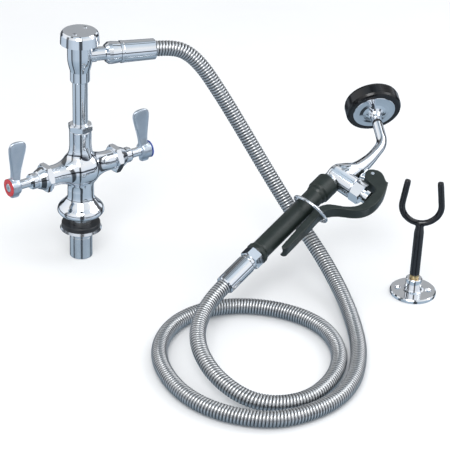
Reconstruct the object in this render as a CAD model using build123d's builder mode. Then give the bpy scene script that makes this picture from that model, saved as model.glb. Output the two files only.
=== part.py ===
from build123d import *
import os
from math import cos, degrees, pi, radians, sin, tan

# Deck-mounted pre rinse faucet with its hose, spray valve and hose hook, laid out on a bench.
# Millimetres. Z is up, X runs along the two arms (hot at -X, cold at +X), and -Y is the front.
# The origin is the centre of the shank's lower end, which stands on the bench at z = 0.

# ---- heights on the faucet's axis
thread_end = 26.0
washer_seat = 36.2
rubber_seat = 39.2
rubber_top = 44.3
bell_bottom = 56.5
arm_height = 113.2
collar_top = 161.6
riser_top = 228.0
breaker_bottom = 221.6
outlet_height = 252.2
cap_bottom = 267.1
cap_top = 281.1

# ---- radii on the faucet's axis
shank_radius = 13.2
supply_radius = 4.5
supply_offset = 6.4
bell_radius = 27.0
column_radius = 15.2
collar_radius = 12.6
pipe_radius = 8.55
pipe_bore = 6.6
breaker_radius = 14.0
cap_radius = 21.7

# ---- stations along each arm, measured from the faucet's axis
arm_end = 42.0
bonnet_end = 58.5
packing_end = 66.4
hub_start = 80.0
hub_end = 92.4
arm_radius = 11.8
stem_radius = 5.35
running_gap = 0.05
blade_length = 54.0
blade_lean = 4.0

# ---- outlet, hose and handset
outlet_heading = -18.5
sleeve_end = 85.0
hose_radius = 8.75
hose_bore = 7.5
handset_origin = (52.3, -212.0, 48.0)
handset_heading = 13.9
handset_rise = 18.0
handset_roll = 17.6
grip_start = 55.0
grip_end = 189.0
grip_radius = 11.2
tube_radius = 7.0
valve_station = 202.5
pivot_along, pivot_across = 229.0, 33.0
squeeze_angle = 3.0
ring_station, ring_across = 146.0, 7.5
ring_radius, ring_wire = 21.6, 1.9
spray_angle = 48.3
plate_along, plate_across = 310.0, -22.0
plate_radius = 25.5
bumper_radius = 32.9

# ---- hook
hook_place = (274.5, -275.0, 0.0)
hook_heading = -42.0
flange_radius = 26.25
flange_thickness = 4.2
fork_wire = 3.6
fork_radius = 21.85
fork_centre = 112.0
fork_tip = 143.3

# Where the hose bends, between its straight ends: a drop to the bench, one and three quarter
# turns round on it, and up to the handset.
hose_lead_out, hose_lead_in = 22.0, 32.0
bench_level = 9.0
hose_bends = [
    (121, -41, 245.5), (140, -52, 229.5), (156, -66, 200), (170, -84, 160),
    (182, -110, 115), (193, -145, 72), (200, -190, 38), (193, -243, 16),
    (170, -297, bench_level), (133, -352, bench_level), (88, -393, bench_level), (35, -408, bench_level),
    (-20, -398, bench_level), (-60, -352, bench_level), (-70, -295, bench_level), (-50, -232, bench_level),
    (0, -192, bench_level), (60, -190, bench_level), (110, -225, bench_level), (135, -280, bench_level),
    (120, -335, bench_level), (80, -373, bench_level), (28, -388, bench_level), (-20, -364, 12),
    (-35, -312, 19), (-18, -255, 31),
]


# ---- frames
def handset_axes():
    """Direction of the grip, and of the lever's side of it."""
    heading, rise, roll = radians(handset_heading), radians(handset_rise), radians(handset_roll)
    along = Vector(cos(rise) * cos(heading), cos(rise) * sin(heading), sin(rise))
    level = Vector(sin(heading), -cos(heading), 0)
    above = Vector(-sin(rise) * cos(heading), -sin(rise) * sin(heading), cos(rise))
    return along, level * cos(roll) - above * sin(roll)


along, across = handset_axes()
handset = Plane(origin=handset_origin, x_dir=along, z_dir=along.cross(across))
grip_plane = Plane(origin=handset_origin, x_dir=across, z_dir=along)
valve_plane = Plane(origin=handset.from_local_coords((valve_station, 0, 0)), x_dir=along, z_dir=across)
spray_direction = along * cos(radians(spray_angle)) - across * sin(radians(spray_angle))
spray_plane = Plane(
    origin=handset.from_local_coords((plate_along, plate_across, 0)),
    x_dir=handset.z_dir,
    z_dir=spray_direction,
)
outlet_direction = Vector(cos(radians(outlet_heading)), sin(radians(outlet_heading)), 0)
outlet_plane = Plane(origin=(0, 0, outlet_height), x_dir=(0, 0, 1), z_dir=outlet_direction)
fork_direction = (cos(radians(hook_heading)), sin(radians(hook_heading)), 0)
hook_plane = Plane(origin=hook_place, x_dir=fork_direction, z_dir=(0, 0, 1))


# ---- helpers
def half_section(outline, plane=Plane.XY):
    """A closed (radius, height) outline, on the plane's axis and ready to be revolved about it."""
    upright = Plane(origin=plane.origin, x_dir=plane.x_dir, z_dir=-plane.y_dir)
    with BuildSketch(upright) as face:
        with BuildLine():
            Polyline(*outline, close=True)
        make_face()
    return face.sketch


def spin_axis(plane=Plane.XY):
    return Axis(plane.origin, plane.z_dir)


def tube(inner, outer, bottom, top):
    """Outline of a plain ring or tube for half_section."""
    return [(inner, bottom), (outer, bottom), (outer, top), (inner, top)]


def chamfered_hexagon(plane, across_flats, bottom, top, inner, turned=0.0):
    """A hexagon nut with its outer corners turned off at 30 degrees, as a finished part."""
    corner = across_flats / 2 / cos(radians(30))
    with BuildPart() as nut:
        with BuildSketch(plane.offset(bottom)):
            RegularPolygon(radius=corner, side_count=6, rotation=turned)
        extrude(amount=top - bottom)
        slope = (corner - across_flats / 2 + 0.3) * tan(radians(30))
        limits = [
            (0, bottom), (across_flats / 2 - 0.3, bottom), (corner, bottom + slope),
            (corner, top - slope), (across_flats / 2 - 0.3, top), (0, top),
        ]
        revolve(half_section(limits, plane), axis=spin_axis(plane), mode=Mode.INTERSECT)
        if inner:
            with BuildSketch(plane.offset(bottom)):
                Circle(inner)
            extrude(amount=top - bottom, mode=Mode.SUBTRACT)
    return nut.part


def turned(outline, plane=Plane.XY):
    """A plain turned piece."""
    with BuildPart() as piece:
        revolve(half_section(outline, plane), axis=spin_axis(plane))
    return piece


def save(piece, name):
    piece.part.label = name
    export_step(piece.part, f"parts/{name}.step")


os.makedirs("parts", exist_ok=True)

# ================= faucet body =================
arm_planes = {
    "hot": Plane(origin=(0, 0, arm_height), x_dir=(0, 0, 1), z_dir=(-1, 0, 0)),
    "cold": Plane(origin=(0, 0, arm_height), x_dir=(0, 0, 1), z_dir=(1, 0, 0)),
}
nose_end = 47.5
nose_radius = 10.9
chamber_start = 28.0
chamber_radius = 9.5
socket_floor = 151.5
shank_top = 72.0

with BuildPart() as valve_body:
    with BuildSketch(Plane.XZ):
        with BuildLine():
            Polyline((0, bell_bottom), (25, bell_bottom), (bell_radius, 59.2))
            Spline(
                (bell_radius, 59.2), (26.1, 64.2), (21.6, 69.0), (17.4, 74.0), (column_radius, 83),
                tangents=((0.1, 1), (0, 1)),
            )
            Line((column_radius, 83), (column_radius, 104))
            Spline(
                (column_radius, 104), (16.6, arm_height + 6), (collar_radius, 144.5),
                tangents=((0, 1), (0, 1)),
            )
            Polyline((collar_radius, 144.5), (collar_radius, collar_top), (0, collar_top), (0, bell_bottom))
        make_face()
    revolve(axis=Axis.Z)
    for plane in arm_planes.values():
        upright = Plane(origin=plane.origin, x_dir=plane.x_dir, z_dir=-plane.y_dir)
        with BuildSketch(upright):
            with BuildLine():
                Polyline((0, 0), (21, 0), (21, 10))
                Spline((21, 10), (16.2, 17), (12.8, 26), (arm_radius, 34), tangents=((-0.6, 1), (0, 1)))
                Polyline(
                    (arm_radius, 34), (arm_radius, arm_end), (nose_radius, arm_end),
                    (nose_radius, nose_end), (0, nose_end), (0, 0),
                )
            make_face()
        revolve(axis=spin_axis(plane))
    # cartridge chambers, and above and below each the passage that feeds or empties it
    passage_radius, passage_offset = 2.8, 6.0
    for name, plane in arm_planes.items():
        side = -1 if name == "hot" else 1
        with BuildSketch(plane.offset(chamber_start)):
            Circle(chamber_radius)
        extrude(amount=nose_end - chamber_start, mode=Mode.SUBTRACT)
        with BuildSketch(plane.offset(1.5)):
            with Locations((passage_offset, 0)):
                Circle(passage_radius)
        extrude(amount=chamber_start, mode=Mode.SUBTRACT)
        with BuildSketch(plane.offset(4)):
            with Locations((-passage_offset, 0)):
                Circle(passage_radius)
        extrude(amount=chamber_start, mode=Mode.SUBTRACT)
        with BuildSketch(Plane.XY.offset(shank_top)):
            with Locations((side * supply_offset, 0)):
                Circle(4)
        extrude(amount=arm_height - passage_offset - shank_top, mode=Mode.SUBTRACT)
    with BuildSketch(Plane.XY.offset(bell_bottom)):
        Circle(shank_radius)
    extrude(amount=shank_top - bell_bottom, mode=Mode.SUBTRACT)
    riser_bore = [
        (0, arm_height + 2), (5, arm_height + 2), (5, 146), (pipe_radius, 146),
        (pipe_radius, socket_floor), (11, socket_floor), (11, collar_top), (0, collar_top),
    ]
    revolve(half_section(riser_bore), axis=Axis.Z, mode=Mode.SUBTRACT)
save(valve_body, "valve_body")

# ================= deck fixing =================
with BuildPart() as mounting_shank:
    with BuildSketch():
        Circle(shank_radius)
        with Locations((-supply_offset, 0), (supply_offset, 0)):
            Circle(supply_radius, mode=Mode.SUBTRACT)
    extrude(amount=shank_top)
    relief = [(shank_radius - 0.6, thread_end), (20, thread_end), (20, thread_end + 1), (shank_radius - 0.6, thread_end + 1)]
    revolve(half_section(relief), axis=Axis.Z, mode=Mode.SUBTRACT)
save(mounting_shank, "mounting_shank")

lock_nut_bottom = 32.4
with BuildPart() as lock_nut:
    add(chamfered_hexagon(Plane.XY, 36, lock_nut_bottom, washer_seat, shank_radius))
save(lock_nut, "lock_nut")

save(turned([(13.6, washer_seat), (24.25, washer_seat), (23, rubber_seat), (13.6, rubber_seat)]), "steel_washer")
save(
    turned([
        (13.4, rubber_seat), (22.35, rubber_seat), (22.35, rubber_top - 0.8),
        (21.5, rubber_top), (13.4, rubber_top),
    ]),
    "rubber_washer",
)

# ================= hot and cold valves =================
disc_start, disc_top = 28.0, 31.0
turning_disc_top = 37.6
flange_start, flange_end = 47.6, 49.0
spline_end = 86.0
screw_tip = 79.0
for name, plane in arm_planes.items():
    side = -1 if name == "hot" else 1

    with BuildPart() as seat_disc:
        revolve(half_section(tube(0, 7.5, disc_start, disc_top), plane), axis=spin_axis(plane))
        with BuildSketch(plane.offset(disc_start)):
            with Locations((-4, 0), (4, 0)):
                Circle(1.8)
        extrude(amount=disc_top - disc_start, mode=Mode.SUBTRACT)
    save(seat_disc, f"{name}_seat_disc")

    stem_bore = stem_radius + running_gap
    cartridge_outline = [
        (7.5, disc_start), (9.4, disc_start), (9.4, flange_start), (10.8, flange_start),
        (10.8, flange_end), (7.5, flange_end), (7.5, 61), (stem_bore, 61),
        (stem_bore, 38), (7.5, 38),
    ]
    save(turned(cartridge_outline, plane), f"{name}_cartridge")

    with BuildPart() as bonnet_nut:
        add(chamfered_hexagon(plane, 29.5, arm_end, 49.5, 0, turned=30))
        cone = [(0, 49.5), (13.6, 49.5), (12.9, 51.5), (10.4, 56.8), (9.2, bonnet_end), (0, bonnet_end)]
        revolve(half_section(cone, plane), axis=spin_axis(plane))
        inside = [
            (0, arm_end), (nose_radius, arm_end), (nose_radius, flange_end),
            (7.6, flange_end), (7.6, bonnet_end), (0, bonnet_end),
        ]
        revolve(half_section(inside, plane), axis=spin_axis(plane), mode=Mode.SUBTRACT)
    save(bonnet_nut, f"{name}_bonnet_nut")

    packing_outline = [
        (7.5, bonnet_end), (8.5, bonnet_end), (9.0, 60), (9.0, 64.5), (8.0, packing_end),
        (stem_bore, packing_end), (stem_bore, 63), (7.5, 63),
    ]
    save(turned(packing_outline, plane), f"{name}_packing_nut")
    save(turned(tube(stem_bore, 7.4, 61, 63), plane), f"{name}_packing_ring")

    with BuildPart() as stem:
        stem_outline = [
            (0, disc_top + 0.3), (7.42, disc_top + 0.3), (7.42, turning_disc_top),
            (stem_radius, turning_disc_top), (stem_radius, hub_start), (4, hub_start),
            (4, spline_end), (2, spline_end), (2, screw_tip - 1), (0, screw_tip - 1),
        ]
        revolve(half_section(stem_outline, plane), axis=spin_axis(plane))
    save(stem, f"{name}_stem")

    with BuildPart() as lever:
        hub_outline = [
            (0, hub_start), (7.8, hub_start), (9.3, hub_start + 1.6), (10, hub_start + 5),
            (10, hub_end), (0, hub_end),
        ]
        revolve(half_section(hub_outline, plane), axis=spin_axis(plane))
        blade_plane = Plane(
            origin=(side * 84, 0, arm_height),
            x_dir=(side * cos(radians(blade_lean)), 0, sin(radians(blade_lean))),
            z_dir=(0, -side, 0),
        )
        with BuildSketch(blade_plane):
            with BuildLine():
                Line((-3.6, 4), (5.5, 4))
                Spline((5.5, 4), (5.9, 16), (9.2, 34), (11, blade_length - 8), tangents=((0, 1), (0.05, 1)))
                ThreePointArc((11, blade_length - 8), (0, blade_length), (-11, blade_length - 8))
                Spline((-11, blade_length - 8), (-9.2, 34), (-5.8, 16), (-3.6, 4), tangents=((0.05, -1), (0.25, -1)))
            make_face()
        extrude(amount=2.5, both=True)
        with BuildSketch(Plane(origin=(side * 86.2, 0, arm_height - 12.8), x_dir=(1, 0, 0), z_dir=(0, 0, 1))):
            RectangleRounded(12.2, 8, 1.5)
        extrude(amount=8)
        hub_bore = [
            (0, hub_start), (4, hub_start), (4, spline_end), (2.1, spline_end),
            (2.1, 90.6), (5.2, 90.6), (5.2, hub_end), (0, hub_end),
        ]
        revolve(half_section(hub_bore, plane), axis=spin_axis(plane), mode=Mode.SUBTRACT)
    save(lever, f"{name}_lever")

    save(turned(tube(5.2, 10, hub_end, hub_end + 1.2), plane), f"{name}_index_ring")

    with BuildPart() as handle_screw:
        screw_outline = [
            (0, screw_tip), (2, screw_tip), (2, 90.6), (5.1, 90.6), (5.1, 93.2), (4.4, 93.8), (0, 93.8),
        ]
        revolve(half_section(screw_outline, plane), axis=spin_axis(plane))
        with BuildSketch(plane.offset(93.8)):
            RegularPolygon(radius=1.8, side_count=6)
        extrude(amount=-1.6, mode=Mode.SUBTRACT)
    save(handle_screw, f"{name}_handle_screw")

# ================= riser =================
with BuildPart() as riser_nut:
    add(chamfered_hexagon(Plane.XY, 25.2, collar_top, 168.8, 0, turned=8))
    revolve(half_section(tube(0, 10.9, 168.8, 169.8)), axis=Axis.Z)
    revolve(half_section(tube(0, 11, 154, collar_top)), axis=Axis.Z)
    revolve(half_section(tube(0, pipe_radius, 154, 169.8)), axis=Axis.Z, mode=Mode.SUBTRACT)
save(riser_nut, "riser_nut")
save(turned(tube(pipe_radius, 11, socket_floor, 154)), "riser_ferrule")
save(turned(tube(pipe_bore, pipe_radius, 146, riser_top)), "riser_pipe")

# ================= vacuum breaker =================
body_top = 271.2
bonnet_seat = 272.0
bonnet_top = 276.5
screw_circle = 11.8
screw_angle = 30.0
screw_foot = 272.4
screw_spots = [
    (screw_circle * cos(radians(screw_angle + turn)), screw_circle * sin(radians(screw_angle + turn)))
    for turn in (0, 180)
]
boss_end = 17.5

with BuildPart() as breaker_body:
    with BuildSketch(Plane.XZ):
        with BuildLine():
            Polyline((0, breaker_bottom), (10.6, breaker_bottom), (11.1, 222.6), (11.1, 234))
            Spline((11.1, 234), (13.3, 243), (breaker_radius, 252), tangents=((0.25, 1), (0, 1)))
            Polyline((breaker_radius, 252), (breaker_radius, body_top), (0, body_top), (0, breaker_bottom))
        make_face()
    revolve(axis=Axis.Z)
    with BuildSketch(outlet_plane):
        Circle(8.8)
    extrude(amount=boss_end)
    water_way = [
        (0, breaker_bottom), (pipe_radius, breaker_bottom), (pipe_radius, riser_top),
        (pipe_bore, riser_top), (pipe_bore, 240), (11, 241), (11, 262),
        (12.2, 262), (12.2, body_top), (0, body_top),
    ]
    revolve(half_section(water_way), axis=Axis.Z, mode=Mode.SUBTRACT)
    with BuildSketch(outlet_plane.offset(8)):
        Circle(6.2)
    extrude(amount=boss_end - 8, mode=Mode.SUBTRACT)
save(breaker_body, "breaker_body")

save(turned(tube(12.2, breaker_radius, body_top, bonnet_seat)), "breaker_gasket")

with BuildPart() as breaker_bonnet:
    bonnet_outline = [
        (4.5, 264), (12.2, 264), (12.2, bonnet_seat), (15.5, bonnet_seat), (15.5, bonnet_top), (4.5, bonnet_top),
    ]
    revolve(half_section(bonnet_outline), axis=Axis.Z)
    with BuildSketch(Plane.XY.offset(screw_foot)):
        with Locations(*screw_spots):
            Circle(1.5)
    extrude(amount=bonnet_top - screw_foot, mode=Mode.SUBTRACT)
save(breaker_bonnet, "breaker_bonnet")

save(turned([(0, 241.4), (9.2, 241.4), (9.8, 242.2), (9.8, 244.4), (3.2, 244.4), (3.2, 266), (0, 266)]), "breaker_float")

cap_ceiling = 278.4
with BuildPart() as breaker_cap:
    cap_outline = [
        (0, cap_bottom), (cap_radius, cap_bottom), (cap_radius - 0.6, 277.6),
        (19.9, 279.9), (18.6, cap_top), (0, cap_top),
    ]
    revolve(half_section(cap_outline), axis=Axis.Z)
    revolve(half_section(tube(0, 18.4, cap_bottom, cap_ceiling)), axis=Axis.Z, mode=Mode.SUBTRACT)
    with BuildSketch(Plane.XY.offset(bonnet_top)):
        with Locations(*screw_spots):
            Circle(3.2)
    extrude(amount=cap_ceiling - bonnet_top)
    with BuildSketch(Plane.XY.offset(bonnet_top)):
        with Locations(*screw_spots):
            Circle(1.5)
    extrude(amount=cap_top - bonnet_top, mode=Mode.SUBTRACT)
    with BuildSketch(Plane.XY.offset(cap_top - 1)):
        with Locations(*screw_spots):
            Circle(2.6)
    extrude(amount=1, mode=Mode.SUBTRACT)
save(breaker_cap, "breaker_cap")

with BuildPart() as cap_screws:
    with BuildSketch(Plane.XY.offset(screw_foot)):
        with Locations(*screw_spots):
            Circle(1.5)
    extrude(amount=cap_top - 1 - screw_foot)
    with BuildSketch(Plane.XY.offset(cap_top - 1)):
        with Locations(*screw_spots):
            Circle(2.6)
    extrude(amount=1.6)
    with BuildSketch(Plane.XY.offset(cap_top + 0.6)):
        with Locations(*screw_spots):
            RegularPolygon(radius=1.2, side_count=6)
    extrude(amount=-1.2, mode=Mode.SUBTRACT)
save(cap_screws, "cap_screws")

# ================= outlet and hose =================
nut_start, nut_end = 28.0, 45.0
nipple_outline = [
    (4.5, 10.4), (6.2, 10.4), (6.2, boss_end), (7.75, boss_end), (7.75, 36), (4.5, 36),
]
save(turned(nipple_outline, outlet_plane), "outlet_nipple")
save(turned(tube(5, 9.5, 36, 37.2), outlet_plane), "hose_washer")

nut_outline = [
    (7.75, nut_start), (9.8, nut_start), (12.4, 31.5), (12.7, 35.5), (12.2, 41), (11.6, nut_end),
    (7.1, nut_end), (7.1, 40.5), (9.6, 40.5), (9.6, 36), (7.75, 36),
]
save(turned(nut_outline, outlet_plane), "hose_union_nut")

sleeve_outline = [
    (5, 37.2), (9.5, 37.2), (9.5, 40.3), (7.0, 40.3), (7.0, nut_end + 0.2), (12.6, nut_end + 0.2),
    (12.6, 48), (12.2, 49), (12.2, 52), (11.7, sleeve_end - 0.8), (11.0, sleeve_end), (5, sleeve_end),
]
save(turned(sleeve_outline, outlet_plane), "hose_inlet_sleeve")


def bend_radius(before, corner, after):
    """Largest tidy arc at a corner of the hose's route."""
    run_in, run_out = Vector(corner) - Vector(before), Vector(after) - Vector(corner)
    turn = radians(run_in.get_angle(run_out))
    return 0.45 * min(run_in.length, run_out.length) / tan(turn / 2)


hose_exit = outlet_plane.origin + outlet_direction * sleeve_end
hose_entry = handset.origin
hose_stops = [
    hose_exit, hose_exit + outlet_direction * hose_lead_out, *hose_bends,
    hose_entry - along * hose_lead_in, hose_entry,
]
hose_route = [tuple(Vector(stop)) for stop in hose_stops]
corner_radii = [bend_radius(*hose_route[i - 1:i + 2]) for i in range(1, len(hose_route) - 1)]
with BuildPart() as spray_hose:
    with BuildLine() as hose_path:
        FilletPolyline(*hose_route, radius=corner_radii)
    first_run = Vector(hose_route[1]) - Vector(hose_route[0])
    with BuildSketch(Plane(origin=hose_route[0], z_dir=first_run)):
        Circle(hose_radius)
        Circle(hose_bore, mode=Mode.SUBTRACT)
    sweep(path=hose_path.wires()[0])
save(spray_hose, "spray_hose")
hose_length = hose_path.wires()[0].length
hose_section = pi * (hose_radius**2 - hose_bore**2)
print("hose radii", [round(r) for r in corner_radii])
print("hose length", round(hose_length), "volume ratio", round(spray_hose.part.volume / hose_length / hose_section, 4))

# ================= handset: hose end and grip =================
sleeve_top = 43.0
handset_sleeve_outline = [
    (5, 0), (9.8, 0), (10.9, 1.2), (10.9, 38), (10.2, 39.5), (10.2, sleeve_top), (tube_radius - 0.1, sleeve_top),
    (tube_radius - 0.1, 49.5), (5, 49.5),
]
save(turned(handset_sleeve_outline, grip_plane), "handset_sleeve")
save(turned(tube(5, tube_radius, 49.5, 51), grip_plane), "handset_washer")

with BuildPart() as handset_nut:
    add(chamfered_hexagon(grip_plane, 22, sleeve_top, grip_start, 0, turned=12))
    revolve(half_section(tube(0, 9.5, grip_start, 60), grip_plane), axis=spin_axis(grip_plane))
    revolve(half_section(tube(0, tube_radius, sleeve_top, 60), grip_plane), axis=spin_axis(grip_plane), mode=Mode.SUBTRACT)
save(handset_nut, "handset_nut")
save(turned(tube(5, tube_radius, 51, 194), grip_plane), "grip_tube")

boss_radius = 9.8
grip_outline = [
    (9.5, grip_start), (12.4, grip_start), (13.0, 56), (13.0, 59.5), (12.2, 61), (11.5, 62.5), (grip_radius, 65),
    (grip_radius, 163), (12.3, 165.5), (12.5, 168.5), (13.9, 170.5), (13.9, grip_end - 1), (13.2, grip_end),
    (boss_radius, grip_end), (boss_radius, 182), (tube_radius, 182), (tube_radius, 60), (9.5, 60),
]
save(turned(grip_outline, grip_plane), "grip")

ring_tilt = 20.0
with BuildPart() as hold_ring:
    ring_plane = Plane(
        origin=handset.from_local_coords((ring_station, ring_across, 0)),
        x_dir=across,
        z_dir=along * cos(radians(ring_tilt)) - handset.z_dir * sin(radians(ring_tilt)),
    )
    rim = Plane(
        origin=ring_plane.origin + ring_plane.x_dir * ring_radius,
        x_dir=ring_plane.x_dir,
        z_dir=ring_plane.y_dir,
    )
    with BuildSketch(rim):
        Circle(ring_wire)
    revolve(axis=spin_axis(ring_plane))
save(hold_ring, "hold_ring")

# ================= handset: valve body, gooseneck and lever =================
cavity_radius = 8.0
gooseneck_radius = 6.2
neck_start = (238.0, 17.0)
neck_run = 47.2
bonnet_hex_start, bonnet_hex_end = 27.0, 40.0
fairing_start = (206.0, 7.5)
fairing_length = ((neck_start[0] - fairing_start[0]) ** 2 + (neck_start[1] - fairing_start[1]) ** 2) ** 0.5
fairing_axis = (handset.from_local_coords((*neck_start, 0)) - handset.from_local_coords((*fairing_start, 0))).normalized()
fairing_plane = Plane(origin=handset.from_local_coords((*fairing_start, 0)), x_dir=handset.z_dir, z_dir=fairing_axis)

with BuildPart() as spray_body:
    revolve(half_section(tube(0, boss_radius, 182, 200), grip_plane), axis=spin_axis(grip_plane))
    chamber = [(0, -8), (9.5, -8), (12.2, -6.2), (13, -3.5), (13, bonnet_hex_start), (0, bonnet_hex_start)]
    revolve(half_section(chamber, valve_plane), axis=spin_axis(valve_plane))
    fairing = [
        (0, 0), (12.6, 0), (12.2, 8), (9.4, 19), (7.3, 28), (gooseneck_radius + 0.4, fairing_length),
        (0, fairing_length),
    ]
    revolve(half_section(fairing, fairing_plane), axis=spin_axis(fairing_plane))
    with BuildLine() as gooseneck_path:
        neck_corner = spray_plane.origin - spray_direction * neck_run
        neck_end = spray_plane.origin - spray_direction * 2
        neck_points = [handset.from_local_coords((*neck_start, 0)), neck_corner, neck_end]
        FilletPolyline(*neck_points, radius=26)
    with BuildSketch(Plane(origin=neck_points[0], z_dir=neck_points[1] - neck_points[0])):
        Circle(gooseneck_radius)
    sweep(path=gooseneck_path.wires()[0])
    # lug that carries the lever's pin
    with BuildSketch(handset):
        with BuildLine():
            Polyline((217, 14), (235, 18), (234, 33))
            ThreePointArc((234, 33), (pivot_along, pivot_across + 5), (224, 33))
            Line((224, 33), (217, 14))
        make_face()
        with Locations((pivot_along, pivot_across)):
            Circle(2, mode=Mode.SUBTRACT)
    extrude(amount=2.5, both=True)
    # inside: tube socket, inlet port, spring and poppet chamber, outlet way
    revolve(half_section(tube(0, tube_radius, 182, 194), grip_plane), axis=spin_axis(grip_plane), mode=Mode.SUBTRACT)
    revolve(half_section(tube(0, 4.5, 193, 200), grip_plane), axis=spin_axis(grip_plane), mode=Mode.SUBTRACT)
    poppet_chamber = [
        (0, -4), (cavity_radius, -4), (cavity_radius, 6), (5, 6), (5, 9),
        (cavity_radius, 9), (cavity_radius, bonnet_hex_start), (0, bonnet_hex_start),
    ]
    revolve(half_section(poppet_chamber, valve_plane), axis=spin_axis(valve_plane), mode=Mode.SUBTRACT)
    with BuildSketch(Plane(origin=handset.from_local_coords((209, 13.4, 0)), z_dir=fairing_axis)):
        Circle(3)
    extrude(amount=30, mode=Mode.SUBTRACT)
    with BuildSketch(Plane(origin=neck_points[0], z_dir=neck_points[1] - neck_points[0])):
        Circle(3.8)
    sweep(path=gooseneck_path.wires()[0], mode=Mode.SUBTRACT)
save(spray_body, "spray_body")

plunger_radius = 3.45
spring_floor = 28.0
cup_ceiling = 46.6
with BuildPart() as valve_bonnet:
    add(chamfered_hexagon(valve_plane, 24, bonnet_hex_start, bonnet_hex_end, 0, turned=30))
    revolve(half_section(tube(0, cavity_radius, 20, bonnet_hex_start), valve_plane), axis=spin_axis(valve_plane))
    revolve(half_section(tube(0, 6.4, bonnet_hex_end, 43.6), valve_plane), axis=spin_axis(valve_plane))
    guide = [
        (0, 20), (plunger_radius + running_gap, 20), (plunger_radius + running_gap, spring_floor),
        (5.4, spring_floor), (5.4, 43.6), (0, 43.6),
    ]
    revolve(half_section(guide, valve_plane), axis=spin_axis(valve_plane), mode=Mode.SUBTRACT)
save(valve_bonnet, "valve_bonnet")

plunger_outline = [
    (0, 2), (6.6, 2), (6.6, 4.8), (plunger_radius, 4.8), (plunger_radius, cup_ceiling), (6.8, cup_ceiling),
    (6.8, 42.8), (8.2, 42.8), (8.2, 47.4), (6.5, 48.4), (3, 48.9), (0, 49),
]
save(turned(plunger_outline, valve_plane), "valve_plunger")
save(turned(tube(plunger_radius, 6.6, 4.8, 5.8), valve_plane), "poppet_seal")

spring_wire = 0.5
spring_radius = 4.75
with BuildPart() as valve_spring:
    spring_base = valve_plane.offset(spring_floor + spring_wire + 0.1)
    spring_height = cup_ceiling - spring_floor - 2 * spring_wire - 0.2
    with BuildLine() as coil:
        Helix(pitch=2.9, height=spring_height, radius=spring_radius, center=spring_base.origin, direction=spring_base.z_dir)
    with BuildSketch(Plane(origin=coil.edges()[0] @ 0, z_dir=coil.edges()[0] % 0)):
        Circle(spring_wire)
    sweep(path=coil.wires()[0], is_frenet=True)
save(valve_spring, "valve_spring")

lever_half_width = 8.0
pivot_axis = Axis(handset.from_local_coords((pivot_along, pivot_across, 0)), handset.z_dir)
with BuildPart() as squeeze_lever:
    with BuildSketch(handset):
        with BuildLine():
            Spline(
                (82, 14.6), (104, 13.9), (130, 13.6), (148, 14.6), (159, 20), (169, 35), (181, 46.8), (194, 49.6),
                tangents=((1, 0), (1, 0)),
            )
            Line((194, 49.6), (209, 49.6))
            Spline((209, 49.6), (215.2, 43.5), (217.2, 34), (224, 26.0), tangents=((1, 0), (1, -0.45)))
            Spline((224, 26.0), (231, 26.2), (236, 32), (237, 41), (230.5, 52), (221, 58), tangents=((1, -0.45), (-1, 0.4)))
            Spline(
                (221, 58), (205, 61.5), (188, 59.8), (174, 50.5), (163, 35), (150, 24.6), (128, 23.4),
                (105, 23.4), (82, 23.8),
                tangents=((-1, 0.4), (-1, 0)),
            )
            ThreePointArc((82, 23.8), (77.4, 19.2), (82, 14.6))
        make_face()
    extrude(amount=lever_half_width, both=True)
    with BuildSketch(handset):
        with Locations((pivot_along, pivot_across)):
            Circle(2 + running_gap)
    extrude(amount=lever_half_width + 1, both=True, mode=Mode.SUBTRACT)
    # slot for the body's lug
    with BuildSketch(handset):
        with Locations((pivot_along, pivot_across)):
            Circle(9.4)
    extrude(amount=2.9, both=True, mode=Mode.SUBTRACT)
    # hollow that nests over the grip when the lever is squeezed
    with BuildPart(mode=Mode.PRIVATE) as nest:
        nest_outline = [(0, 40), (11.7, 40), (11.7, 163), (12.9, 166.5), (14.4, 169), (14.4, 191), (0, 191)]
        revolve(half_section(nest_outline, grip_plane), axis=spin_axis(grip_plane))
    add(nest.part.rotate(pivot_axis, -squeeze_angle), mode=Mode.SUBTRACT)
save(squeeze_lever, "squeeze_lever")

with BuildPart() as lever_pin:
    with BuildSketch(handset):
        with Locations((pivot_along, pivot_across)):
            Circle(2)
    extrude(amount=lever_half_width + 0.3, both=True)
save(lever_pin, "lever_pin")

# ================= handset: spray head =================
face_screw_circle = 19.0
with BuildPart() as head_plate:
    plate_outline = [
        (0, -10), (gooseneck_radius + 0.5, -10), (7.2, -7.5), (8.4, -5), (10.6, -2.8), (14, -1.2), (18, -0.4),
        (22, 0),
        (plate_radius - 0.6, 0), (plate_radius, 0.6), (plate_radius, 2.5), (0, 2.5),
    ]
    revolve(half_section(plate_outline, spray_plane), axis=spin_axis(spray_plane))
    neck_bore = [(0, -10), (gooseneck_radius, -10), (gooseneck_radius, -2), (3.8, -2), (3.8, 2.5), (0, 2.5)]
    revolve(half_section(neck_bore, spray_plane), axis=spin_axis(spray_plane), mode=Mode.SUBTRACT)
    with BuildSketch(spray_plane):
        with PolarLocations(face_screw_circle, 4):
            Circle(1.2)
    extrude(amount=2.5, mode=Mode.SUBTRACT)
save(head_plate, "head_plate")

face_front = 14.5
bumper_front = 19.0
with BuildPart() as bumper:
    bumper_outline = [
        (plate_radius, 0.2), (29.6, 0.2), (31.8, 1.4), (bumper_radius, 4), (bumper_radius, 15), (31.9, 17.8),
        (29.2, bumper_front), (26, bumper_front), (24.4, 17.6), (24.4, 2.5), (plate_radius, 2.5),
    ]
    revolve(half_section(bumper_outline, spray_plane), axis=spin_axis(spray_plane))
save(bumper, "bumper")

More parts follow.
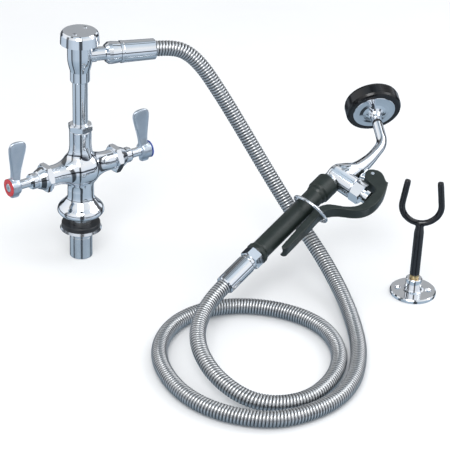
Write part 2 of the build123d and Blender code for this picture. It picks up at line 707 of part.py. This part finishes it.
jet_rows = [(8, 9.0), (14, 14.5), (3, 3.5)]
with BuildPart() as spray_face:
    face_outline = [
        (0, 12), (22.6, 12), (22.6, 2.5), (24.4, 2.5), (24.4, face_front), (0, face_front),
    ]
    revolve(half_section(face_outline, spray_plane), axis=spin_axis(spray_plane))
    with BuildSketch(spray_plane.offset(2.5)):
        with PolarLocations(face_screw_circle, 4):
            Circle(2.6)
    extrude(amount=10)
    with BuildSketch(spray_plane.offset(11)):
        for jets, circle in jet_rows:
            with PolarLocations(circle, jets):
                Circle(0.9)
    extrude(amount=4, mode=Mode.SUBTRACT)
    with BuildSketch(spray_plane.offset(2.5)):
        with PolarLocations(face_screw_circle, 4):
            Circle(1.2)
    extrude(amount=face_front - 2.5, mode=Mode.SUBTRACT)
save(spray_face, "spray_face")

with BuildPart() as face_screws:
    with BuildSketch(spray_plane):
        with PolarLocations(face_screw_circle, 4):
            Circle(1.2)
    extrude(amount=face_front)
    with BuildSketch(spray_plane.offset(face_front)):
        with PolarLocations(face_screw_circle, 4):
            Circle(2.3)
    extrude(amount=1.2)
save(face_screws, "face_screws")

# ================= hook =================
collar_rise = 19.7
rod_radius = 4.0
screw_pcd = 35.0
with BuildPart() as hook_flange:
    flange_outline = [
        (0, 0), (flange_radius, 0), (flange_radius, flange_thickness - 1.2), (flange_radius - 1.2, flange_thickness),
        (12.2, flange_thickness), (10.2, flange_thickness + 0.8), (9.3, flange_thickness + 2.4),
        (9.3, collar_rise - 1), (8.4, collar_rise), (0, collar_rise),
    ]
    revolve(half_section(flange_outline, hook_plane), axis=spin_axis(hook_plane))
    with BuildSketch(hook_plane.offset(8)):
        Circle(rod_radius)
    extrude(amount=collar_rise - 8, mode=Mode.SUBTRACT)
    with BuildSketch(hook_plane):
        with PolarLocations(screw_pcd / 2, 2):
            Circle(2.4)
    extrude(amount=flange_thickness, mode=Mode.SUBTRACT)
    with Locations(*[hook_plane.offset(flange_thickness).location * Pos(x, 0, 0) for x in (-screw_pcd / 2, screw_pcd / 2)]):
        CounterSinkHole(radius=2.4, counter_sink_radius=4.2, depth=flange_thickness)
save(hook_flange, "hook_flange")

stem_bottom = 24.0
rod_top = 40.0
with BuildPart() as hook_rod:
    rod_outline = [(0, 8), (rod_radius, 8), (rod_radius, rod_top), (0, rod_top)]
    revolve(half_section(rod_outline, hook_plane), axis=spin_axis(hook_plane))
    revolve(half_section(tube(0, 5.4, collar_rise + 0.3, stem_bottom), hook_plane), axis=spin_axis(hook_plane))
save(hook_rod, "hook_rod")

stem_top = fork_centre - fork_radius
arm_lean = 7.0
with BuildPart() as hook_fork:
    fork_stem = [
        (0, stem_bottom), (5.0, stem_bottom), (5.6, 25), (5.6, 78), (4.6, 86), (4.2, stem_top), (0, stem_top),
    ]
    revolve(half_section(fork_stem, hook_plane), axis=spin_axis(hook_plane))
    upright_plane = Plane(origin=hook_place, x_dir=hook_plane.x_dir, z_dir=hook_plane.x_dir.cross(Vector(0, 0, 1)))
    reach = fork_tip - fork_centre
    touch_x, touch_z = fork_radius * cos(radians(arm_lean)), fork_centre + fork_radius * sin(radians(arm_lean))
    tip_x = touch_x - reach * sin(radians(arm_lean))
    with BuildLine(upright_plane) as fork_path:
        Line((-tip_x, fork_tip), (-touch_x, touch_z))
        ThreePointArc((-touch_x, touch_z), (0, fork_centre - fork_radius), (touch_x, touch_z))
        Line((touch_x, touch_z), (tip_x, fork_tip))
    arm = fork_path.wires()[0]
    with BuildSketch(Plane(origin=arm @ 0, z_dir=arm % 0)):
        Circle(fork_wire)
    sweep(path=arm)
    with BuildSketch(hook_plane.offset(stem_bottom)):
        Circle(rod_radius)
    extrude(amount=rod_top - stem_bottom, mode=Mode.SUBTRACT)
save(hook_fork, "hook_fork")
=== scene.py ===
from math import cos, pi, radians, sin

import bmesh
import bpy
from mathutils import Matrix, Vector


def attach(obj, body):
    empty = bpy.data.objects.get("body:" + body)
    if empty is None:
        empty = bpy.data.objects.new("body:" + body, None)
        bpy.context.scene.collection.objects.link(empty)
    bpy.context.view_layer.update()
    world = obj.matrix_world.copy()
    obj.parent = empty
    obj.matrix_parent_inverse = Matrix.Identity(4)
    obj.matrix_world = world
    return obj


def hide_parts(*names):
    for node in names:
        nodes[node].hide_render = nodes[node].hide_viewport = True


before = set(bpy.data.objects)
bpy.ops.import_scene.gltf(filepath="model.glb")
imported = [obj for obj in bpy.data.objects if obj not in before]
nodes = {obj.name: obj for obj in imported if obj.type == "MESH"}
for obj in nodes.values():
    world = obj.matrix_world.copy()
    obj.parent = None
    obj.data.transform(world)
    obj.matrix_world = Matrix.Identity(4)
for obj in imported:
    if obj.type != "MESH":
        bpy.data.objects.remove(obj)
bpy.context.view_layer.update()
scene = bpy.context.scene
MM = 0.001


# ================= camera =================
camera_right = Vector((0.811, -0.584, 0.037))
camera_up = Vector((0.259, 0.415, 0.872))
camera_forward = Vector((0.524, 0.698, -0.488)).normalized()
camera_data = bpy.data.cameras.new("camera")
camera_data.lens = 132
camera_data.sensor_width = 36
camera = bpy.data.objects.new("camera", camera_data)
scene.collection.objects.link(camera)
side = (camera_right - camera_forward * camera_right.dot(camera_forward)).normalized()
top = side.cross(camera_forward)
turn = Matrix((side, top, -camera_forward)).transposed().to_4x4()
camera.matrix_world = Matrix.Translation((-0.8685, -1.4352, 0.9797)) @ turn
scene.camera = camera


# ================= materials =================
class Graph:
    """A short way to write a node tree."""

    def __init__(self, tree):
        self.tree = tree

    def add(self, kind, **settings):
        node = self.tree.nodes.new(kind)
        for name, value in settings.items():
            if hasattr(node, name):
                setattr(node, name, value)
            else:
                node.inputs[name.replace("_", " ")].default_value = value
        return node

    def join(self, out, into):
        self.tree.links.new(out, into)

    def ramp(self, value, stops, interpolation="LINEAR"):
        node = self.tree.nodes.new("ShaderNodeValToRGB")
        node.color_ramp.interpolation = interpolation
        while len(node.color_ramp.elements) < len(stops):
            node.color_ramp.elements.new(1.0)
        for element, (place, colour) in zip(node.color_ramp.elements, stops):
            element.position = place
            shade = colour if isinstance(colour, tuple) else (colour, colour, colour)
            element.color = (*shade, 1)
        self.join(value, node.inputs["Fac"])
        return node.outputs["Color"]


def make_material(name, colours, roughness, metallic=0.0, grain=400.0, bump=0.02, coat=0.0):
    """Two close colours in a soft mottle, with a roughness range and a fine bump on top."""
    material = bpy.data.materials.new(name)
    material.use_nodes = True
    tree = material.node_tree
    shader = tree.nodes["Principled BSDF"]
    graph = Graph(tree)
    place = graph.add("ShaderNodeTexCoord")
    mottle = graph.add("ShaderNodeTexNoise", Scale=grain * 0.12, Detail=4.0, Roughness=0.6)
    fine = graph.add("ShaderNodeTexNoise", Scale=grain * 3, Detail=3.0, Roughness=0.55)
    graph.join(place.outputs["Object"], mottle.inputs["Vector"])
    graph.join(place.outputs["Object"], fine.inputs["Vector"])
    graph.join(
        graph.ramp(mottle.outputs["Fac"], [(0.3, colours[0]), (0.7, colours[1])]), shader.inputs["Base Color"],
    )
    spread = graph.add("ShaderNodeMapRange")
    spread.inputs["To Min"].default_value = roughness[0]
    spread.inputs["To Max"].default_value = roughness[1]
    graph.join(fine.outputs["Fac"], spread.inputs["Value"])
    graph.join(spread.outputs["Result"], shader.inputs["Roughness"])
    relief = graph.add("ShaderNodeBump", Strength=bump, Distance=0.001)
    graph.join(fine.outputs["Fac"], relief.inputs["Height"])
    graph.join(relief.outputs["Normal"], shader.inputs["Normal"])
    shader.inputs["Metallic"].default_value = metallic
    shader.inputs["Coat Weight"].default_value = coat
    shader.inputs["Coat Roughness"].default_value = 0.06
    return material


chrome = make_material("chrome", [(0.80, 0.83, 0.87), (0.86, 0.88, 0.91)], (0.03, 0.07), 1.0, 300, 0.004)
satin = make_material(
    "satin_chrome", [(0.60, 0.67, 0.75), (0.68, 0.74, 0.81)], (0.26, 0.36), 1.0, 900, 0.02,
)
steel = make_material(
    "polished_steel", [(0.66, 0.68, 0.71), (0.76, 0.78, 0.80)], (0.12, 0.22), 1.0, 500, 0.01,
)
hose_steel = make_material(
    "hose_steel", [(0.66, 0.67, 0.68), (0.74, 0.75, 0.76)], (0.26, 0.36), 1.0, 500, 0.02,
)
brass = make_material(
    "machined_brass", [(0.62, 0.44, 0.20), (0.74, 0.56, 0.30)], (0.20, 0.34), 1.0, 600, 0.02,
)
rubber = make_material(
    "black_rubber", [(0.010, 0.011, 0.013), (0.020, 0.021, 0.024)], (0.30, 0.45), 0.0, 700, 0.05,
)
bumper_rubber = make_material(
    "bumper_rubber", [(0.002, 0.002, 0.003), (0.005, 0.005, 0.006)], (0.14, 0.24), 0.0, 500, 0.02,
)
vinyl = make_material(
    "black_vinyl", [(0.003, 0.003, 0.005), (0.007, 0.008, 0.011)], (0.10, 0.18), 0.0, 300, 0.03, coat=0.3,
)
green = make_material(
    "grip_plastic", [(0.010, 0.016, 0.014), (0.018, 0.026, 0.023)], (0.26, 0.40), 0.0, 900, 0.08,
)
red = make_material("red_index", [(0.42, 0.015, 0.02), (0.55, 0.03, 0.035)], (0.20, 0.30), 0.0, 500, 0.02)
blue = make_material("blue_index", [(0.015, 0.05, 0.30), (0.03, 0.08, 0.42)], (0.20, 0.30), 0.0, 500, 0.02)
ceramic = make_material("ceramic", [(0.78, 0.76, 0.72), (0.84, 0.83, 0.80)], (0.12, 0.20), 0.0, 400, 0.01)
face_plastic = make_material(
    "face_plastic", [(0.03, 0.03, 0.035), (0.045, 0.045, 0.05)], (0.35, 0.45), 0.0, 700, 0.05,
)

def darken_grooves(material):
    """Painted shade between the hose's ribs: darker where the rib height stored on its mesh is low."""
    tree = material.node_tree
    graph = Graph(tree)
    base = tree.nodes["Principled BSDF"].inputs["Base Color"]
    plain = base.links[0].from_socket
    rib = graph.add("ShaderNodeAttribute", attribute_name="rib_height")
    shade = graph.ramp(rib.outputs["Fac"], [(0.0, 0.10), (0.70, 0.45), (0.97, 1.0)])
    both = graph.add("ShaderNodeMix", data_type="RGBA", blend_type="MULTIPLY")
    both.inputs[0].default_value = 1.0
    graph.join(plain, both.inputs[6])
    graph.join(shade, both.inputs[7])
    graph.join(both.outputs[2], base)


# painted shade between the hose's ribs, multiplied into the steel's colour
darken_grooves(hose_steel)
finishes = {
    chrome: [
        "valve_body", "riser_pipe", "riser_nut", "breaker_body", "breaker_cap", "breaker_bonnet",
        "outlet_nipple", "hot_packing_nut", "cold_packing_nut", "hot_bonnet_nut", "cold_bonnet_nut",
        "hose_union_nut", "spray_body", "valve_bonnet", "head_plate", "hook_flange", "hose_inlet_sleeve",
        "handset_sleeve", "handset_nut", "hold_ring", "hot_stem", "cold_stem", "valve_plunger",
    ],
    satin: ["hot_lever", "cold_lever"],
    steel: [
        "mounting_shank", "steel_washer", "hot_handle_screw", "cold_handle_screw", "cap_screws",
        "face_screws", "lever_pin", "valve_spring",
    ],
    hose_steel: ["spray_hose"],
    brass: ["lock_nut", "hot_cartridge", "cold_cartridge", "riser_ferrule", "grip_tube", "hook_rod"],
    rubber: [
        "rubber_washer", "hose_washer", "handset_washer", "hot_packing_ring", "cold_packing_ring",
        "breaker_gasket", "poppet_seal",
    ],
    bumper_rubber: ["bumper"],
    vinyl: ["hook_fork"],
    green: ["grip", "squeeze_lever"],
    red: ["hot_index_ring"],
    blue: ["cold_index_ring"],
    ceramic: ["hot_seat_disc", "cold_seat_disc"],
    face_plastic: ["spray_face", "breaker_float"],
}


def paint(obj, material):
    obj.data.materials.clear()
    obj.data.materials.append(material)


for material, names in finishes.items():
    for name in names:
        paint(nodes[name], material)


# ================= pieces =================
def new_piece(name, mesh, body, material, slot, *replaced, crease=35):
    obj = bpy.data.objects.new(name, mesh)
    scene.collection.objects.link(obj)
    mesh.shade_smooth()
    mesh.set_sharp_from_angle(angle=radians(crease))
    paint(obj, material)
    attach(obj, body)
    if replaced:
        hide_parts(*replaced)
    return obj


def mesh_from(name, points, faces):
    mesh = bpy.data.meshes.new(name)
    mesh.from_pydata([tuple(p) for p in points], [], faces)
    mesh.validate()
    mesh.update()
    return mesh


def tube_frames(line):
    """(point, side, up, distance) along a line of points, turning with it and never twisting."""
    tangents = []
    for i in range(len(line)):
        before, after = line[max(i - 1, 0)], line[min(i + 1, len(line) - 1)]
        tangents.append((after - before).normalized())
    side_way = tangents[0].cross(Vector((0, 0, 1))).normalized()
    frames, distance = [], 0.0
    for i, point in enumerate(line):
        if i:
            distance += (point - line[i - 1]).length
            side_way = tangents[i - 1].rotation_difference(tangents[i]) @ side_way
        side_way = (side_way - tangents[i] * side_way.dot(tangents[i])).normalized()
        frames.append((point, side_way, tangents[i].cross(side_way), distance))
    return frames


def even_line(line, step):
    """The same line in equal steps."""
    total = sum((b - a).length for a, b in zip(line, line[1:]))
    count = max(2, round(total / step))
    out, i, walked = [line[0]], 0, 0.0
    for k in range(1, count):
        target = total * k / count
        while walked + (line[i + 1] - line[i]).length < target:
            walked += (line[i + 1] - line[i]).length
            i += 1
        run = line[i + 1] - line[i]
        out.append(line[i] + run * ((target - walked) / run.length))
    out.append(line[-1])
    return out


# ================= hose =================
# Near the CAD tube's stops. The drop bends down sooner and has one more stop.
bench_level = 9.0
outlet_height = 252.2
sleeve_end, lead_out, lead_in = 85.0, 18.0, 32.0
outlet_heading = radians(-18.5)
handset_heading, handset_rise, handset_roll = radians(13.9), radians(18), radians(17.6)
outlet_way = Vector((cos(outlet_heading), sin(outlet_heading), 0))
handset_end = Vector((52.3, -212.0, 48.0))
handset_way = Vector((
    cos(handset_rise) * cos(handset_heading), cos(handset_rise) * sin(handset_heading), sin(handset_rise),
))
hose_exit = outlet_way * sleeve_end + Vector((0, 0, outlet_height))
hose_bends = [
    (115, -40, 246), (130, -49, 229), (142, -60, 206), (155, -73, 178), (168, -90, 146),
    (182, -115, 107), (195, -150, 65), (200, -195, 35), (191, -245, 15),
    (167, -298, bench_level), (132, -352, bench_level), (86, -394, bench_level), (35, -408, bench_level),
    (-20, -398, bench_level), (-60, -352, bench_level), (-70, -295, bench_level), (-50, -231, bench_level),
    (0, -191, bench_level), (60, -190, bench_level), (110, -225, bench_level), (135, -280, bench_level),
    (120, -335, bench_level), (80, -373, bench_level), (28, -389, bench_level), (-20, -368, 12),
    (-33, -314, 19), (-19, -258, 29),
]
hose_points = [
    hose_exit, hose_exit + outlet_way * lead_out, *hose_bends,
    handset_end - handset_way * lead_in, handset_end,
]
hose_diameter = 17.5 * MM
rib_pitch = 3.4 * MM


def spline_line(name, points):
    """Points along the smooth line that the stops steer. It cuts inside their corners."""
    curve = bpy.data.curves.new(name, "CURVE")
    curve.dimensions = "3D"
    curve.resolution_u = 24
    spline = curve.splines.new("NURBS")
    spline.points.add(len(points) - 1)
    for point, place in zip(spline.points, points):
        point.co = (*(c * MM for c in place), 1)
    spline.order_u = 3
    spline.use_endpoint_u = True
    holder = bpy.data.objects.new(name, curve)
    mesh = bpy.data.meshes.new_from_object(holder)
    line = [v.co.copy() for v in mesh.vertices]
    bpy.data.objects.remove(holder)
    bpy.data.meshes.remove(mesh)
    return line


hose_line = spline_line("hose_route", hose_points)
around = 36
per_rib = 6
hose_frames = tube_frames(even_line(hose_line, rib_pitch / per_rib))
points, faces, heights = [], [], []
rib_shape = (0.0, 0.72, 0.97, 1.0, 0.97, 0.72)
rib_depth = 1.2 * MM
for k, (centre, side_way, up_way, distance) in enumerate(hose_frames):
    for j in range(around):
        angle = 2 * pi * j / around
        # the strip is wound as a screw, so each ring of points meets the groove at one place
        phase = (distance / rib_pitch + j / around) % 1.0 * per_rib
        low = rib_shape[int(phase) % per_rib]
        high = rib_shape[(int(phase) + 1) % per_rib]
        height = low + (high - low) * (phase - int(phase))
        radius = hose_diameter / 2 - rib_depth * (1 - height)
        heights.append(height)
        points.append(centre + (side_way * cos(angle) + up_way * sin(angle)) * radius)
for k in range(len(hose_frames) - 1):
    for j in range(around):
        a, b = k * around + j, k * around + (j + 1) % around
        faces.append((a, b, b + around, a + around))
last = (len(hose_frames) - 1) * around
faces.append(tuple(reversed(range(around))))
faces.append(tuple(range(last, last + around)))
hose_mesh = mesh_from("hose", points, faces)
hose_mesh.attributes.new("rib_height", "FLOAT", "POINT").data.foreach_set("value", heights)
hose = new_piece("hose", hose_mesh, "faucet", hose_steel, "steel_hose", "spray_hose", crease=70)

# ================= castings =================
def fused(name, meshes, voxel, rounds, where=None):
    """Closed shells grown into one skin, softened where a rule says so."""
    joined = bmesh.new()
    for part in meshes:
        joined.from_mesh(part)
    mesh = bpy.data.meshes.new(name)
    joined.to_mesh(mesh)
    joined.free()
    holder = bpy.data.objects.new(name, mesh)
    scene.collection.objects.link(holder)
    skin = holder.modifiers.new("skin", "REMESH")
    skin.mode = "VOXEL"
    skin.voxel_size = voxel
    bpy.context.view_layer.update()
    grown = bpy.data.meshes.new_from_object(holder.evaluated_get(bpy.context.evaluated_depsgraph_get()))
    bpy.data.objects.remove(holder)
    soft = bmesh.new()
    soft.from_mesh(grown)
    chosen = [v for v in soft.verts if where is None or where(v.co)]
    for _ in range(rounds):
        bmesh.ops.smooth_vert(
            soft, verts=chosen, factor=0.5, use_axis_x=True, use_axis_y=True, use_axis_z=True,
        )
    soft.to_mesh(grown)
    soft.free()
    return grown


def rounded_loft(name, sections, corner=3.2, count=28):
    """Skin over (centre, half_width_vector, half_depth_vector) sections with rounded corners."""
    points = []
    for centre, wide, deep in sections:
        for k in range(count):
            angle = 2 * pi * k / count
            c, v = cos(angle), sin(angle)
            reach = (abs(c) ** corner + abs(v) ** corner) ** (-1 / corner)
            points.append((centre + wide * (c * reach) + deep * (v * reach)) * MM)
    faces = []
    for i in range(len(sections) - 1):
        for k in range(count):
            a, b = i * count + k, i * count + (k + 1) % count
            faces.append((a, b, b + count, a + count))
    faces.append(tuple(reversed(range(count))))
    faces.append(tuple(range((len(sections) - 1) * count, len(sections) * count)))
    return mesh_from(name, points, faces)


arm_height = 113.2
hub_start, hub_end = 80.1, 92.3
blade_lean = radians(4)
blade_profile = [
    (0, 5.0, 6.5), (5, 5.2, 5.6), (10, 5.4, 4.2), (16, 5.9, 3.2), (25, 7.4, 2.8), (34, 9.2, 2.6),
    (42, 10.6, 2.5), (47, 10.9, 2.5), (50, 10.1, 2.4), (52, 8.3, 2.2), (53.3, 5.6, 1.7), (53.8, 3.0, 1.0),
]
hub_profile = [
    (hub_start, 7.6), (hub_start + 1.6, 9.3), (hub_start + 5, 9.9), (hub_end - 0.6, 9.9), (hub_end, 9.4),
]


def lever_mesh(side):
    origin = Vector((side * 84, 0, arm_height))
    outward = Vector((side * cos(blade_lean), 0, sin(blade_lean)))
    upward = Vector((-side * sin(blade_lean), 0, cos(blade_lean)))
    level = Vector((0, 1, 0))
    shift = outward * 1.4
    blade = rounded_loft("blade", [(origin + shift * (1 - t / 54) + upward * t, outward * w, level * d)
                                   for t, w, d in blade_profile])
    hub = rounded_loft("hub", [(Vector((side * x, 0, arm_height)), level * r, Vector((0, 0, r)))
                               for x, r in hub_profile], corner=2, count=48)
    lug_centre = Vector((side * 86.2, 0, arm_height))
    lug = rounded_loft("lug", [(lug_centre - Vector((0, 0, z)), Vector((w, 0, 0)), level * d)
                               for z, w, d in [(0, 5.9, 4), (10, 5.9, 4), (12, 5.6, 3.8), (12.7, 4.6, 3)]])
    return fused("lever", [blade, hub, lug], 0.5 * MM, 7)


for name, side in (("hot", -1), ("cold", 1)):
    new_piece(f"{name}_lever_casting", lever_mesh(side), f"{name}_handle", satin, "satin_lever",
              f"{name}_lever", crease=60)

saddle_reach, saddle_height = 0.033, 0.026


def near_saddle(place):
    return 0.006 < abs(place.x) < saddle_reach and abs(place.z - arm_height * MM) < saddle_height


body_mesh = nodes["valve_body"].data
new_piece("body_casting", fused("body_casting", [body_mesh], 0.7 * MM, 60, near_saddle), "faucet", chrome,
          "chrome_plate", "valve_body", crease=50)

# the moulded lever has rounded rims, and the spray casting runs into its gooseneck
new_piece("squeeze_moulding", fused("squeeze_moulding", [nodes["squeeze_lever"].data], 0.5 * MM, 14),
          "squeeze", green, "grip_plastic", "squeeze_lever", crease=60)
handset_level = Vector((sin(handset_heading), -cos(handset_heading), 0))
handset_above = Vector((
    -sin(handset_rise) * cos(handset_heading), -sin(handset_rise) * sin(handset_heading), cos(handset_rise),
))
handset_across = handset_level * cos(handset_roll) - handset_above * sin(handset_roll)
handset_side = handset_way.cross(handset_across)
# stations along the handset with the shoulder's offset and radius there
shoulder = [
    (201, 0.0, 9.6), (206, 0.8, 11.4), (212, 3.0, 12.6), (219, 8.0, 11.8), (227, 13.0, 9.7), (234, 14.3, 8.6),
    (241, 15.0, 7.8), (248, 15.4, 7.1), (254, 15.4, 6.6), (260, 14.9, 6.3),
]
shoulder_mesh = rounded_loft("shoulder", [
    (handset_end + handset_way * a + handset_across * v, handset_across * r, handset_side * r)
    for a, v, r in shoulder], corner=2, count=40)
new_piece("spray_casting", fused("spray_casting", [nodes["spray_body"].data, shoulder_mesh], 0.5 * MM, 12),
          "faucet", chrome, "chrome_plate", "spray_body", crease=60)

# the dipped vinyl runs round the fork's tips and fills the corner under its bow
fork_tips, bow_low, bow_high = 0.139, 0.084, 0.096


def near_fork_end(place):
    return place.z > fork_tips or bow_low < place.z < bow_high


new_piece("fork_dip", fused("fork_dip", [nodes["hook_fork"].data], 0.5 * MM, 30, near_fork_end),
          "faucet", vinyl, "black_vinyl", "hook_fork", crease=60)

# ================= stage =================
floor_mesh = mesh_from("floor", [(-6, -6, 0), (6, -6, 0), (6, 6, 0), (-6, 6, 0)], [(0, 1, 2, 3)])
floor = bpy.data.objects.new("floor", floor_mesh)
floor.location = (0.15, -0.2, -0.0004)
scene.collection.objects.link(floor)
paint(floor, make_material("floor", [(0.86, 0.87, 0.88), (0.88, 0.89, 0.90)], (0.7, 0.8), 0.0, 40, 0.0))
floor.visible_glossy = False

world = bpy.data.worlds.new("studio")
scene.world = world
world.use_nodes = True
world.node_tree.nodes.clear()
sky = Graph(world.node_tree)
place = sky.add("ShaderNodeTexCoord")
parts = sky.add("ShaderNodeSeparateXYZ")
sky.join(place.outputs["Generated"], parts.inputs["Vector"])
bearing = sky.add("ShaderNodeMath", operation="ARCTAN2")
sky.join(parts.outputs["Y"], bearing.inputs[0])
sky.join(parts.outputs["X"], bearing.inputs[1])
around_once = sky.add("ShaderNodeMapRange")
around_once.inputs["From Min"].default_value = -pi
around_once.inputs["From Max"].default_value = pi
sky.join(bearing.outputs["Value"], around_once.inputs["Value"])
stripes = sky.ramp(around_once.outputs["Result"], [
    (0.00, 0.80), (0.06, 1.0), (0.145, 1.0), (0.16, 0.02), (0.20, 0.02), (0.215, 0.9),
    (0.38, 1.0), (0.46, 0.75), (0.475, 0.02), (0.52, 0.03), (0.535, 1.0), (0.575, 1.0),
    (0.59, 0.40), (0.71, 0.35), (0.72, 0.03), (0.77, 0.03), (0.785, 0.9), (0.92, 1.0), (0.935, 0.10),
    (0.965, 0.10), (0.98, 0.80),
])
height = sky.add("ShaderNodeMapRange")
height.inputs["From Min"].default_value = -1.0
sky.join(parts.outputs["Z"], height.inputs["Value"])
bands = sky.ramp(height.outputs["Result"], [
    (0.0, (0.30, 0.38, 0.46)), (0.25, (0.42, 0.52, 0.62)), (0.42, (0.74, 0.82, 0.92)),
    (0.485, (0.05, 0.055, 0.07)), (0.53, (0.08, 0.09, 0.11)), (0.56, (0.86, 0.92, 1.0)),
    (0.82, (1.0, 1.0, 1.0)), (1.0, (0.61, 0.72, 0.83)),
])
mixed = sky.add("ShaderNodeMix", data_type="RGBA", blend_type="MULTIPLY")
mixed.inputs[0].default_value = 0.9
sky.join(bands, mixed.inputs[6])
sky.join(stripes, mixed.inputs[7])
reflected = sky.add("ShaderNodeBackground", Strength=1.05)
sky.join(mixed.outputs[2], reflected.inputs["Color"])
seen = sky.add("ShaderNodeBackground", Color=(0.90, 0.91, 0.92, 1), Strength=1.0)
rays = sky.add("ShaderNodeLightPath")
choice = sky.add("ShaderNodeMixShader")
sky.join(rays.outputs["Is Glossy Ray"], choice.inputs["Fac"])
sky.join(seen.outputs["Background"], choice.inputs[1])
sky.join(reflected.outputs["Background"], choice.inputs[2])
result = sky.add("ShaderNodeOutputWorld")
sky.join(choice.outputs["Shader"], result.inputs["Surface"])


def soft_light(name, place, target, size, power, colour=(1, 1, 1)):
    data = bpy.data.lights.new(name, "AREA")
    data.shape = "RECTANGLE"
    data.size, data.size_y = size
    data.energy = power
    data.color = colour
    light = bpy.data.objects.new(name, data)
    light.location = place
    light.rotation_euler = (Vector(target) - Vector(place)).to_track_quat("-Z", "Y").to_euler()
    scene.collection.objects.link(light)


soft_light("key", (-0.7, -1.0, 1.5), (0.1, -0.15, 0.1), (0.9, 0.9), 14)
soft_light("fill", (1.2, -0.6, 1.2), (0.1, -0.15, 0.1), (1.0, 1.0), 6, (0.95, 0.97, 1.0))
scene.view_settings.view_transform = "Standard"
